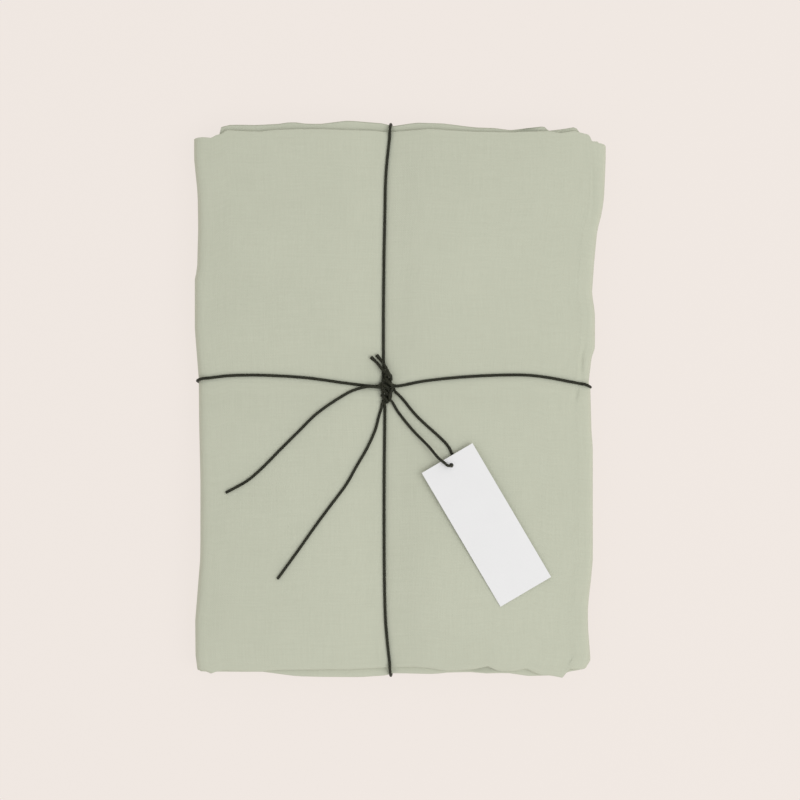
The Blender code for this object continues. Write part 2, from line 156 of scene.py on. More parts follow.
TOP_NEAR = [(-140, -189), (-133, -191.7), (-129, -190.3), (-122, -189.4), (-108, -190),
            (-96, -190.3), (-87, -189.3), (-68, -189.1), (-51, -188.9), (-39, -189),
            (-17.6, -188), (-10.5, -187.5), (9, -187), (21, -188.1), (33, -190), (50, -188.8),
            (55, -188), (59, -186.2), (63, -188), (69, -190), (80, -190), (87, -188.1),
            (99, -193), (105, -193), (113.5, -194.6), (117, -190.8), (118, -188.5), (129, -189.1)]
LOW_NEAR = [(-141, -189.4), (-134, -191.7), (-129, -190.3), (-96, -190.5), (-83, -192.2),
            (-71, -193.6), (-55, -194), (-27, -194.2), (-10.5, -193), (-4.5, -191.5), (24, -192),
            (33, -191), (50.6, -190.6), (59, -191.7), (75, -191.3), (90, -193.4), (105, -193),
            (113.5, -194.2), (117, -190.7), (129, -189.1), (132, -185)]
LEFT_SIDE = [(-190.2, -141.3), (-178.7, -142.8), (-154.3, -143), (-139.6, -141.8),
             (-109.6, -139.4), (-56.5, -139.4), (-14.7, -140.3), (13.3, -140.5), (49, -143.3),
             (84, -143.3), (89.3, -141.7), (118.7, -141), (143, -141.3), (167.5, -143.8),
             (183, -143.8)]
TOP_RIGHT = [(-190.2, 128.3), (-182.2, 133), (-171, 132.2), (-159, 131.2), (-144.5, 131.2),
             (-127, 133.2), (-113, 134.6), (-32.8, 134.6), (-23, 133.7), (7, 132.9),
             (11.9, 131.7), (28.6, 133.7), (35.6, 136.1), (60.7, 136.1), (73.3, 134),
             (96, 135.6), (118.7, 137.8), (125, 139.9), (138.9, 142.4), (167, 143.6),
             (190, 143.6)]
LOW_RIGHT = [(-190, 127), (-160, 129.5), (-113, 132.5), (0, 130.5), (12, 129.5), (60, 133.5),
             (73, 133), (90, 134), (118.7, 136), (125, 138), (138.9, 140.4), (167, 141.6),
             (190, 141)]

# Routes of the tie cord on top. Crosswise: (share of the way from the knot to the rim, y);
# lengthwise: (share, x).
KNOT_X = -9.6
KNOT_Y = 4.2
LEFT_RIM = -134.4
RIGHT_RIM = 126.9
FAR_RIM = 183.3
NEAR_RIM = -184.4
CROSS_LEFT = [(0, 8.9), (0.08, 9.0), (0.23, 11.1), (0.45, 14.8), (0.68, 16.5), (0.87, 16.3),
              (1, 14.5)]
CROSS_RIGHT = [(0, 9.0), (0.07, 9.2), (0.2, 12.6), (0.41, 15.5), (0.65, 16.8), (0.8, 15.5),
               (1, 10.5)]
LENGTH_FAR = [(0, -11.5), (0.15, -11.5), (0.45, -11.3), (0.7, -10.5), (0.85, -9.8), (1, -7.2)]
LENGTH_NEAR = [(0, -10.5), (0.3, -11.0), (0.6, -11.0), (0.8, -10.4), (0.9, -9.2), (1, -7.2)]
ROUTE_STEP = 4.0

# Each half of the tie cord leaves the knot twice: (first place, rim, way, reach past the rim)
FIRST_ACROSS = (-14.5, LEFT_RIM, -1, 6.1)
FIRST_ALONG = (22.0, FAR_RIM, 1, 7.6)
FIRST_LEAN = 0.0
SECOND_ACROSS = (-3.6, RIGHT_RIM, 1, 5.1)
SECOND_ALONG = (-4.6, NEAR_RIM, -1, 7.8)
SECOND_LEAN = -2.4
ACROSS_POINTS = 40
ALONG_POINTS = 48
WRAP_DEGREES = (78, 60, 42, 22, 0, -22, -42, -60, -78)
RUN_SHARES = (0.05, 0.2, 0.35, 0.5, 0.65, 0.8, 0.95)

# The hitch underneath, in shares of its reach: x, y and how far it rises over the other half
HITCH_ROUTE = [(-2.6, -0.25, 0.25), (-1.35, -0.62, 0.9), (-0.62, -0.78, 1), (0.1, -0.85, 0.85),
               (0.72, -0.72, 0.5), (0.85, -0.1, 0.15), (0.78, 0.62, 0), (0.62, 1.35, 0),
               (0.25, 2.6, 0)]

# The free tails and the tag's string on top, as (x, y), and how far they rise at their starts
TAIL_LEFT = [(-12.0, 8.0), (-18.0, 8.6), (-22.5, 8.6), (-27.0, 7.8), (-31.0, 6.6), (-36.0, 4.5),
             (-47.8, -2.7), (-59.5, -11.4), (-70.3, -22.2), (-83.1, -34.9), (-94.8, -46.8),
             (-106.5, -57.0), (-121.7, -65.5)]
TAIL_LEFT_ON_CORD = (1.0, 1.0, 0.9, 0.25)
TAIL_LOWER = [(-11.8, -1.0), (-13.0, -6.0), (-15.0, -13.0), (-17.5, -22.2), (-23.3, -34.9),
              (-30.2, -46.8), (-38.0, -60.4), (-49.8, -76.1), (-59.3, -89.0), (-70.3, -104.6),
              (-85.5, -125.6)]
TAIL_LOWER_ON_CORD = (0.6,)
STRING_UNDER = [(1.7, 0.2), (9.8, -9.8), (17.3, -17.3), (26.0, -25.1), (32.3, -31.3),
                (35.5, -36.4), (36.4, -40.5)]
STRING_OVER = [(30.4, -44.0), (26.0, -40.3), (19.8, -32.9), (10.5, -23.5), (3.0, -14.8),
               (-2.0, -8.0)]
STRING_OVER_RISES = (1, 0.93, 0.5, 0.08, 0, 0)
STRING_EXIT_UPPER = (-3.6, 5.4)
STRING_EXIT_LOWER = (-5.3, -2.2)
STRING_EXIT_HEIGHT = 24.42


def cross_stops():
    """The crosswise cord's route over the cloth, as (x, y) in rising order of x."""
    left = [(KNOT_X + (LEFT_RIM - KNOT_X) * share, y) for share, y in CROSS_LEFT]
    right = [(KNOT_X + (RIGHT_RIM - KNOT_X) * share, y) for share, y in CROSS_RIGHT]
    return smooth_line(left[::-1] + right[1:], ROUTE_STEP)


def length_stops():
    """The lengthwise cord's route over the cloth, as (y, x) in rising order of y."""
    near = [(KNOT_Y + (NEAR_RIM - KNOT_Y) * share, x) for share, x in LENGTH_NEAR]
    far = [(KNOT_Y + (FAR_RIM - KNOT_Y) * share, x) for share, x in LENGTH_FAR]
    return smooth_line(near[::-1] + far[1:], ROUTE_STEP)


CROSS_LINE = cross_stops()
LENGTH_LINE = length_stops()


# The cloth's upper and lower sides ------------------------------------------------------------


def bump(distance, reach):
    return np.exp(-((distance / reach) ** 2))


def crown(x, y):
    """Height of the upper side before its small shapes."""
    along = bump(x - VALLEY_X, VALLEY_REACH)
    across = bump(y - VALLEY_Y, VALLEY_REACH)
    valley = VALLEY_DEPTH * (1 - (1 - along) * (1 - across))
    shoulder = SHOULDER_DROP * (np.abs(x / HALF_WIDTH) ** 6 + np.abs(y / HALF_LENGTH) ** 6)
    return HEIGHT - valley - shoulder


# Creases pressed into the top ply: x and y of both ends, depth, half width. Both ends fade out.
CREASE_FADE = 0.12
CREASES = [
    (127.0, 36.0, 126.2, 15.0, 1.25, 1.3),
    (124.6, 11.0, 121.8, -4.0, 1.05, 1.3),
    (118.0, 30.0, 113.0, 19.0, 0.30, 2.2),
    (-50.6, 30.0, -49.8, 10.0, 0.35, 1.8),
    (112.0, -184.5, 122.5, -181.5, 0.60, 1.8),
    (86.0, -188.0, 99.0, -178.0, 0.45, 2.0),
    (-128.0, 12.0, -112.0, 2.0, 0.28, 2.4),
    (-129.0, 19.0, -114.0, 30.0, 0.30, 2.4),
    (-5.5, 176.0, 2.5, 158.0, 0.30, 2.4),
    (-15.0, 176.0, -24.0, 160.0, 0.28, 2.4),
    (-3.0, -176.0, 6.0, -160.0, 0.30, 2.4),
    (-14.0, -176.0, -23.0, -161.0, 0.26, 2.4),
    (59.0, -186.0, 60.5, -172.0, 0.55, 2.0),
    (134.0, 181.0, 134.6, 118.0, 0.55, 1.4),
    (134.4, 118.0, 130.5, 86.0, 0.30, 1.6),
]

# Long soft waves left by the folding: direction in degrees, length, height, phase
WAVES = [(12, 118, 0.16, 0.4), (78, 140, 0.15, 1.7), (38, 83, 0.08, 2.9), (131, 71, 0.07, 0.8),
         (96, 47, 0.05, 2.2), (163, 57, 0.05, 1.1)]


def cord_press(distance):
    """The cloth under a tight cord and the soft ridges beside it."""
    ridges = RIDGE_HEIGHT * bump(np.abs(distance) - RIDGE_PLACE, RIDGE_REACH)
    return -PRESS_DEPTH * bump(distance, PRESS_REACH) + ridges


def small_shapes(x, y):
    """Creases, waves and the marks of the cords on the upper side."""
    height = cord_press(y - read(CROSS_LINE, x)) + cord_press(x - read(LENGTH_LINE, y))
    for degrees, length, rise, phase in WAVES:
        turn = math.radians(degrees)
        along = x * math.cos(turn) + y * math.sin(turn)
        height = height + rise * np.sin(2 * math.pi * along / length + phase)
    for x0, y0, x1, y1, depth, reach in CREASES:
        dx, dy = x1 - x0, y1 - y0
        span = dx * dx + dy * dy
        t = np.clip(((x - x0) * dx + (y - y0) * dy) / span, 0, 1)
        off = np.hypot(x - x0 - t * dx, y - y0 - t * dy)
        along = np.clip(t, CREASE_FADE, 1 - CREASE_FADE)
        height = height - depth * np.sin(math.pi * along) * bump(off, reach)
    return height


def slope(place, flat, foot):
    """1 as far as flat, then falling smoothly to 0 at foot."""
    t = np.clip((foot - place) / (foot - flat), 0, 1)
    return t * t * (3 - 2 * t)


def under(x, y):
    """Height of the lower side: flat, with a channel for each cord and room for their hitch."""
    dx, dy = np.abs(x - UNDER_X), np.abs(y - UNDER_Y)
    channel = CHANNEL_DEPTH * slope(np.minimum(dx, dy), CHANNEL_FLAT, CHANNEL_FOOT)
    hitch = HITCH_DEPTH * slope(np.maximum(dx, dy), CHANNEL_FOOT, HITCH_FOOT)
    return np.maximum(channel, hitch)


def flared(points):
    """The outlines are read on top, so what lies lower stands out more, down to half height."""
    points = np.array(points, dtype=float)
    drop = np.clip(HEIGHT - points[..., 2], 0, HEIGHT / 2)
    points[..., :2] *= (1 + drop / VIEW_DISTANCE)[..., None]
    return points


def on_cloth(x, y):
    """Height of the top ply where a cord lies on it."""
    share = (HEIGHT - LEAF_GAP / 2) / HEIGHT
    low = under(x, y)
    return float(low + (crown(x, y) + small_shapes(x, y) - low) * share)


def lying(x, y, over=0.0):
    """A cord's centre on the cloth, clear of the highest cloth within its width."""
    best = max(on_cloth(x + dx, y + dy) for dx in (-1, 0, 1) for dy in (-1, 0, 1))
    return (x, y, best + CORD_RADIUS - LOOSE_SINK + over)


def held(x, y):
    """A tight cord's centre, pressed a little into the cloth."""
    return (x, y, on_cloth(x, y) + CORD_RADIUS - TIGHT_SINK)


# Camera ---------------------------------------------------------------------------------------


def add_camera():
    data = bpy.data.cameras.new("camera")
    data.lens = LENS
    data.sensor_width = SENSOR
    camera = bpy.data.objects.new("camera", data)
    camera.location = (0, VIEW_CENTRE_Y * MM, (HEIGHT + VIEW_DISTANCE) * MM)
    bpy.context.collection.objects.link(camera)
    bpy.context.scene.camera = camera


# Cords ----------------------------------------------------------------------------------------


def frames_along(line):
    """Two directions square to the line at each point, turning no more than the line does."""
    ahead = np.gradient(line, axis=0)
    ahead /= np.linalg.norm(ahead, axis=1)[:, None]
    first = np.cross(ahead[0], (0, 0, 1.0))
    if np.linalg.norm(first) < 0.1:
        first = np.cross(ahead[0], (1.0, 0, 0))
    sides = [first / np.linalg.norm(first)]
    for a in ahead[1:]:
        side = sides[-1] - a * np.dot(sides[-1], a)
        sides.append(side / np.linalg.norm(side))
    sides = np.array(sides)
    return sides, np.cross(ahead, sides)


def cord_rings(line, cut_start, cut_end):
    """Rings of points round a laid cord. A cut end is drawn in; a "swollen" one is thicker too."""
    side, up = frames_along(line)
    gaps = np.linalg.norm(np.diff(line, axis=0), axis=1)
    place = np.concatenate([[0], np.cumsum(gaps)])
    round_ = np.linspace(0, 2 * math.pi, CORD_SIDES, endpoint=False)
    lay = LAY_LOBES * (round_[None, :] - 2 * math.pi * place[:, None] / LAY_LENGTH)
    radius = CORD_RADIUS * (1 + LAY_DEPTH * np.cos(lay))
    if cut_end == "swollen":
        radius *= 1 + TIP_SWELL * bump(place - place[-1], TIP_REACH)[:, None]
    if cut_start:
        radius[0] *= CUT_SHARE
    if cut_end:
        radius[-1] *= CUT_SHARE
    sideways = side[:, None, :] * np.cos(round_)[None, :, None]
    upwards = up[:, None, :] * np.sin(round_)[None, :, None]
    return line[:, None, :] + radius[:, :, None] * (sideways + upwards), place


def joined_in(rings, line, place):
    """A turn of a knot gets a little thinner at its ends, where it runs into another cord."""
    near_end = np.minimum(place, place[-1] - place) / JOIN_LENGTH
    share = JOIN_SHARE + (1 - JOIN_SHARE) * np.clip(near_end, 0, 1)
    return line[:, None, :] + (rings - line[:, None, :]) * share[:, None, None]


def cord_mesh(name, lines, cuts):
    """One mesh of one or more laid cords. Its UV map runs in metres along and in turns round."""
    verts, faces, marks = [], [], []
    for line, (cut_start, cut_end) in zip(lines, cuts):
        rings, place = cord_rings(line, cut_start, cut_end)
        if len(lines) > 1:
            rings = joined_in(rings, line, place)
        start = len(verts)
        count = len(rings)
        verts.extend((rings.reshape(-1, 3) * MM).tolist())
        for k in range(count - 1):
            for j in range(CORD_SIDES):
                n = (j + 1) % CORD_SIDES
                low, high = start + k * CORD_SIDES, start + (k + 1) * CORD_SIDES
                faces.append((low + j, low + n, high + n, high + j))
                near, far = place[k] * MM, place[k + 1] * MM
                marks += [(near, j / CORD_SIDES), (near, (j + 1) / CORD_SIDES)]
                marks += [(far, (j + 1) / CORD_SIDES), (far, j / CORD_SIDES)]
        for ring, centre, turned in ((0, line[0], True), (count - 1, line[-1], False)):
            verts.append(tuple(centre * MM))
            hub = len(verts) - 1
            base = start + ring * CORD_SIDES
            for j in range(CORD_SIDES):
                n = (j + 1) % CORD_SIDES
                fan = (base + n, base + j, hub) if turned else (base + j, base + n, hub)
                faces.append(fan)
                marks += [(place[ring] * MM, j / CORD_SIDES)] * 3
    mesh = bpy.data.meshes.new(name)
    mesh.from_pydata(verts, [], faces)
    layer = mesh.uv_layers.new(name="Lay")
    layer.data.foreach_set("uv", np.array(marks, dtype=float).ravel())
    mesh.shade_smooth()
    made = bpy.data.objects.new(name, mesh)
    bpy.context.collection.objects.link(made)
    return made


def side_wrap(rim, sign, is_x, start, end, reach, lean=0.0):
    """Points round the cloth's side from on top to underneath."""
    power = SIDE_ROUND if is_x else ROUND
    points = []
    for degrees in WRAP_DEGREES:
        turn = math.radians(degrees)
        across = start + (end - start) * (90 - degrees) / 180 + lean * math.cos(turn)
        top = crown(rim, start) if is_x else crown(start, rim)
        low = CHANNEL_DEPTH
        middle, half = (top + low) / 2, (top - low) / 2 + CORD_RADIUS
        out = rim + sign * (reach + CORD_RADIUS) * math.cos(turn) ** power
        z = middle + half * math.copysign(abs(math.sin(turn)) ** power, turn)
        points.append((out, across, z) if is_x else (across, out, z))
    return points


def straight_run(start, end, is_x):
    """Points along the channel between a side and the hitch."""
    z = FLOOR_GAP + CORD_RADIUS
    points = []
    for share in RUN_SHARES:
        place = start + (end - start) * share
        points.append((place, UNDER_Y, z) if is_x else (UNDER_X, place, z))
    return points


def hitch(first):
    """Under the cloth the two halves hook round each other."""
    low = FLOOR_GAP + CORD_RADIUS
    route = [(x * HITCH_REACH, y * HITCH_REACH, share) for x, y, share in HITCH_ROUTE]
    route = [(-HITCH_FOOT, 0, 0), *route, (0, HITCH_FOOT, 0)]
    side = 1 if first else -1
    return [(UNDER_X + side * x, UNDER_Y + side * y, low + CORD_OVER_CORD * s) for x, y, s in route]


def tie_half(first):
    """One half of the tie cord: out along the crosswise run, under, and back lengthwise."""
    start_x, rim_x, sign_x, reach_x = FIRST_ACROSS if first else SECOND_ACROSS
    start_y, rim_y, sign_y, reach_y = FIRST_ALONG if first else SECOND_ALONG
    lean = FIRST_LEAN if first else SECOND_LEAN
    xs = np.linspace(start_x, rim_x - sign_x, ACROSS_POINTS)
    ys = np.linspace(start_y, rim_y - sign_y, ALONG_POINTS)
    out = [held(x, float(read(CROSS_LINE, x))) for x in xs]
    back = [held(float(read(LENGTH_LINE, y)), y) for y in ys]
    under_run = hitch(first)
    wrap_x = side_wrap(rim_x, sign_x, True, out[-1][1], UNDER_Y, reach_x, lean)
    wrap_y = side_wrap(rim_y, sign_y, False, back[-1][0], UNDER_X, reach_y)[::-1]
    line = out + wrap_x + straight_run(wrap_x[-1][0], under_run[0][0], True)
    line += under_run + straight_run(under_run[-1][1], wrap_y[0][1], False)
    line += wrap_y + back[::-1]
    return even_line(smooth_line(flared(line), CORD_STEP), CORD_STEP)


def dress_cord(name, lines, look, nodes, body, cuts=None):
    """A laid cord that stands for CAD nodes and rides a body."""
    made = cord_mesh(name, lines, cuts or [(False, False)] * len(lines))
    made.data.materials.append(look)
    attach(made, body)
    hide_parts(*nodes)
    return made


def tail_line(route, over):
    """A free tail lying on the cloth, raised at its start by shares of a cord's thickness."""
    line = []
    for k, (x, y) in enumerate(route):
        rise = over[k] * CORD_DIAMETER if k < len(over) else 0.0
        line.append(lying(x, y, rise))
    return even_line(smooth_line(line, CORD_STEP), CORD_STEP)


def string_line():
    """The tag's string: from the knot under the tag, up through its hole, and back over it."""
    r = STRING_TURN
    below = [np.array(lying(x, y)) for x, y in STRING_UNDER]
    heading = HOLE - below[-1]
    heading[2] = 0
    heading /= np.linalg.norm(heading)
    leaving = np.array([STRING_OVER[0][0] - HOLE[0], STRING_OVER[0][1] - HOLE[1] - r, 0])
    leaving /= np.linalg.norm(leaving)
    line = [np.array((*STRING_EXIT_UPPER, STRING_EXIT_HEIGHT)), *below]
    for degrees in (0, 30, 60):
        turn = math.radians(degrees)
        line.append(HOLE - heading * r * (1 - math.sin(turn)) - TAG_UP * r * math.cos(turn))
    line.append(HOLE.copy())
    for degrees in (30, 60, 90):
        turn = math.radians(degrees)
        line.append(HOLE + leaving * r * (1 - math.cos(turn)) + TAG_UP * r * math.sin(turn))
    for (x, y), share in zip(STRING_OVER, STRING_OVER_RISES):
        point = np.array(lying(x, y))
        point[2] += (HOLE[2] + r - point[2]) * share
        line.append(point)
    line.append(np.array((*STRING_EXIT_LOWER, STRING_EXIT_HEIGHT)))
    return even_line(smooth_line(line, CORD_STEP), CORD_STEP)


def build_cords(look):
    """Makes every cord outside the knots and hands back the lines that run into them."""
    first, second = tie_half(True), tie_half(False)
    dress_cord("cord_left_to_top", [first], look, ["tie_cord_left_to_top"], "bundle")
    dress_cord("cord_right_to_bottom", [second], look, ["tie_cord_right_to_bottom"], "bundle")
    tail_left = tail_line(TAIL_LEFT, TAIL_LEFT_ON_CORD)
    tail_lower = tail_line(TAIL_LOWER, TAIL_LOWER_ON_CORD)
    for name, line, node in (("tail_left", tail_left, "tie_tail_left"),
                             ("tail_lower", tail_lower, "tie_tail_lower")):
        made = dress_cord(name, [line], look, [node], "bundle", [(False, True)])
    line = string_line()
    made = dress_cord("tag_string", [line], look, ["tag_string_loop"], "tag_string")
    return first, second, tail_left, tail_lower


# Knots: cord turns over and under each other ---------------------------------------------------

# Points are (x, y, height over the knot's floor). The floor rises with the cloth beside the knot.
KNOT_FLOOR = 21.9
FLOOR_DIP = 0.4
FLOOR_SINK = 0.1
TIE_KNOT_TURNS = [
    # the crosswise cord from -X crosses over, turns down and comes out as the lower tail
    [(-13.4, 9.5, 1.8), (-10.6, 8.6, 3.6), (-7.9, 6.2, 4.6), (-6.5, 3.0, 3.9), (-7.2, -0.4, 2.8),
     (-9.4, -1.8, 2.2)],
    # the crosswise cord from +X goes under, round the lengthwise cord and out as the left tail
    [(-4.8, 9.5, 1.4), (-8.0, 9.4, 2.2), (-10.9, 11.6, 2.8), (-13.0, 11.0, 2.8)],
    # the lengthwise cord passes down the knot's left side
    [(-11.7, 18.0, 1.5), (-12.0, 12.0, 3.4), (-12.0, 6.0, 3.9), (-11.7, 1.0, 3.2),
     (-11.0, -2.4, 1.6)],
    # the turns that lock them, wound down the body
    [(-11.9, 12.4, 1.4), (-12.0, 13.6, 3.0), (-10.2, 13.0, 4.2), (-7.6, 10.8, 4.2),
     (-6.2, 9.4, 2.6), (-7.6, 9.0, 1.0), (-11.0, 9.6, 1.2), (-12.2, 10.0, 3.2),
     (-10.4, 9.4, 4.8), (-7.6, 7.4, 4.8), (-6.3, 5.6, 2.8), (-7.6, 5.0, 1.0),
     (-11.0, 5.8, 1.2), (-12.5, 6.2, 3.2), (-10.8, 5.5, 5.0), (-8.6, 3.6, 4.8),
     (-7.3, 1.9, 2.8), (-8.2, 1.0, 1.0), (-11.2, 2.0, 1.2), (-12.7, 2.4, 3.0),
     (-11.0, 1.6, 4.4), (-9.2, -0.4, 3.9), (-8.7, -2.0, 2.4), (-9.6, -2.4, 1.4)],
    # the core under the turns
    [(-9.2, 13.6, 1.6), (-9.4, 10.0, 2.6), (-9.4, 6.0, 2.9), (-9.4, 2.0, 2.7), (-9.3, -1.6, 1.8)],
]
STRING_KNOT_TURNS = [
    # leg to the upper exit
    [(-9.3, 16.4, 2.4), (-7.6, 17.4, 3.4), (-6.3, 15.9, 3.3), (-6.9, 12.6, 2.8), (-5.6, 9.6, 3.2),
     (-4.3, 7.4, 2.9), (-3.6, 5.4, 2.52)],
    # leg to the lower exit, lying over the knot
    [(-10.4, 15.2, 3.6), (-8.8, 13.4, 5.0), (-7.4, 11.4, 5.6), (-5.4, 8.8, 6.0), (-5.8, 5.6, 6.2),
     (-7.0, 2.6, 5.6), (-6.9, -0.2, 3.9), (-5.3, -2.2, 2.52)],
    # the overhand turn
    [(-10.6, 18.2, 2.6), (-9.2, 15.6, 2.2), (-7.9, 12.9, 2.9), (-6.2, 13.6, 4.4), (-6.5, 15.9, 5.2),
     (-8.6, 17.0, 5.0), (-10.6, 15.6, 4.0)],
]
STRING_ENDS = {
    "tag_string_end_left": [(-8.5, 17.4, 4.6), (-10.2, 18.9, 4.6), (-12.4, 20.6, 4.0),
                            (-14.6, 23.6, 2.6), (-17.4, 26.6, 1.4), (-20.4, 29.4, 1.15)],
    "tag_string_end_right": [(-6.9, 15.8, 4.8), (-7.8, 18.0, 5.0), (-9.6, 21.6, 4.2),
                             (-11.6, 24.8, 3.3), (-14.0, 28.0, 2.0), (-16.4, 30.8, 1.15)],
}


def over_floor(route, before=(), after=()):
    """A line from heights over the floor, with finished points put before and after it."""
    line = list(before)
    for x, y, rise in route:
        floor = max(KNOT_FLOOR - FLOOR_DIP, on_cloth(x, y) - FLOOR_SINK)
        line.append((x, y, floor + rise))
    line += list(after)
    return even_line(smooth_line(line, CORD_STEP / 2), CORD_STEP / 2)


def build_knots(look, first, second, tail_left, tail_lower):
    """The knots' turns run on from the cords that come into them."""
    leads = [(first[[6, 4, 2]], tail_lower[[4, 6, 8]]), (second[[6, 4, 2]], tail_left[[4, 6, 8]]),
             (first[[-7, -5, -3]], second[[-3, -5, -7]]), ((), ()), ((), ())]
    lines = [over_floor(route, *lead) for route, lead in zip(TIE_KNOT_TURNS, leads)]
    dress_cord("knot_of_tie", lines, look, ["tie_knot"], "bundle")
    lines = [over_floor(route) for route in STRING_KNOT_TURNS]
    dress_cord("knot_of_tag_string", lines, look, ["tag_string_knot"], "bundle")
    for node, route in STRING_ENDS.items():
        line = over_floor(route)
        dress_cord("cut_" + node, [line], look, [node], "bundle", [(False, "swollen")])


# The folded sheet -----------------------------------------------------------------------------

# Level of each panel of the sheet in the stack, from the first panel to the last
PANEL_LEVELS = (0, 7, 4, 3, 2, 5, 6, 1)
TOP_PANEL = 1
UNDER_TOP_PANEL = 6
PANELS = len(PANEL_LEVELS)

# Where the sheet's points lie: x of the outlines' sharp tips, points across a panel, y of the rows
TIPS = (-125.5, 101.5, 114, 124, 134.5)
TIP_WIDTH = 0.016
TIP_PULL = 3.5
SIDE_WIDTH = 0.02
SIDE_PULL = 2.5
SAMPLES = {TOP_PANEL: 116, UNDER_TOP_PANEL: 84}
OTHER_SAMPLES = 30
SIDE_FOLD_STEPS = 11
OUTER_FOLD_STEPS = 9
INNER_FOLD_STEPS = 6
STATIONS = (-190, -181, -171, -156, -141, -127, -112, -85, -56, -32, -18, -2, 4, 8, 13, 18, 24, 30,
            36, 49, 61, 73.3, 84, 90, 104, 119, 126, 139, 155, 168, 183, 190)
UNDER_CORD = (0.0, 27.0, 1.6)

NOMINAL_LEFT = -138.0
NOMINAL_RIGHT = 136.0
NOMINAL_END = 190.0

# Hems and folds: sizes, and how far along y each stands from its panel's end
HEM = 18.0
HEM_LIFT = 0.35
HEM_BEND = 0.2
RIM = 0.35
UPPER_HEM_STEP = -0.5
LOWER_HEM_STEP = -1.4
NEAR_FOLD = 1.5
FAR_FOLD = -0.6
INNER_FOLD = 2.2
INNER_FOLD_OUT = 0.6

# Where the leaves under the top one sag away from it: x, y, reach along x and y, share of height
POCKETS = [(59.0, -187.4, 7.0, 1.9, 0.3), (88.0, 187.4, 8.0, 1.5, 0.16),
           (121.0, -184.5, 2.5, 1.5, 0.1)]
TOP_LEAF_SHARE = 7 / 8

# Plies drift up and down a little inside the stack: height, (length, turn per mm) for x and y
DRIFT = 0.12
DRIFT_X = (31.0, 0.9)
DRIFT_Y = (27.0, 1.3)

# At +X: the rolled panels start in from the outline, the inner fold and the free sides stand in
ROLLED_PANELS = (1, 2, 5, 6)
ROLLED_OUT = 0.9
INNER_PANELS = (3, 4)
INNER_STAND = 2.2
FREE_STAND = {0: 1.6, 7: 0.4}
CORNER_TURN = 3.0
CORNER_WIDTH = 0.02
FAR_SIDE_Y = NOMINAL_END - 8

# The bake map gives more room to what is seen: the top panel, the free lower panel, the top ply
BAKE_MARGIN = 0.005
BAKE_SPAN = 0.99
BAKE_TOP_PANEL = 5.0
BAKE_FIRST_PANEL = 2.5
BAKE_TOP_PLY = 6.0
TOP_PLY_PLACE = 0.02

# How far each panel's ends stand in from the lower outline
FAR_INSET = (1.4, 0.0, 1.7, 2.2, 1.1, 0.6, 0.0, 0.8)
NEAR_INSET = (1.2, 0.0, 1.3, 1.9, 0.9, 1.5, 0.0, 0.6)
END_WOBBLE = (0.8, 0.0, 0.8, 1.0, 0.9, 0.8, 0.15, 0.8)


def spread(count, centres, width, pull):
    """Shares from 0 to 1, closer together near the centres and at both ends."""
    fine = np.linspace(0, 1, 2001)
    weight = np.ones_like(fine)
    for centre in centres:
        weight += pull * bump(fine - centre, width)
    weight += SIDE_PULL * (bump(fine, SIDE_WIDTH) + bump(fine - 1, SIDE_WIDTH))
    total = np.concatenate([[0], np.cumsum((weight[1:] + weight[:-1]) / 2)])
    return np.interp(np.linspace(0, total[-1], count), total, fine)


def panel_samples():
    """Stations across the sheet: (panel, next panel, share across, turn, hem) for each."""
    middle = [(x - NOMINAL_LEFT) / (NOMINAL_RIGHT - NOMINAL_LEFT) for x in (VALLEY_X, UNDER_X)]
    tips = [(x - NOMINAL_LEFT) / (NOMINAL_RIGHT - NOMINAL_LEFT) for x in TIPS]
    rows = []
    hem_share = HEM / (NOMINAL_RIGHT - NOMINAL_LEFT)
    rim_share = RIM / (NOMINAL_RIGHT - NOMINAL_LEFT)
    for share in (1 - hem_share, 1 - hem_share / 2, 1 - hem_share / 8):
        rows.append((0, 0, share, 0.0, 1.0))
    for panel in range(PANELS):
        count = SAMPLES.get(panel, OTHER_SAMPLES)
        shares = spread(count, middle + tips, TIP_WIDTH, TIP_PULL)
        if panel % 2 == 0:
            shares = shares[::-1]
        shares = list(shares)
        if panel == 0:
            shares.insert(1, 1 - rim_share)
        if panel == PANELS - 1:
            shares.insert(-1, 1 - rim_share)
        for share in shares:
            rows.append((panel, panel, share, 0.0, 0.0))
        if panel < PANELS - 1:
            side = 0.0 if panel % 2 == 0 else 1.0
            for k in range(1, SIDE_FOLD_STEPS):
                rows.append((panel, panel + 1, side, math.pi * k / SIDE_FOLD_STEPS, 0.0))
    for share in (1 - hem_share / 8, 1 - hem_share / 2, 1 - hem_share):
        rows.append((PANELS - 1, PANELS - 1, share, 0.0, 1.0))
    return np.array(rows)


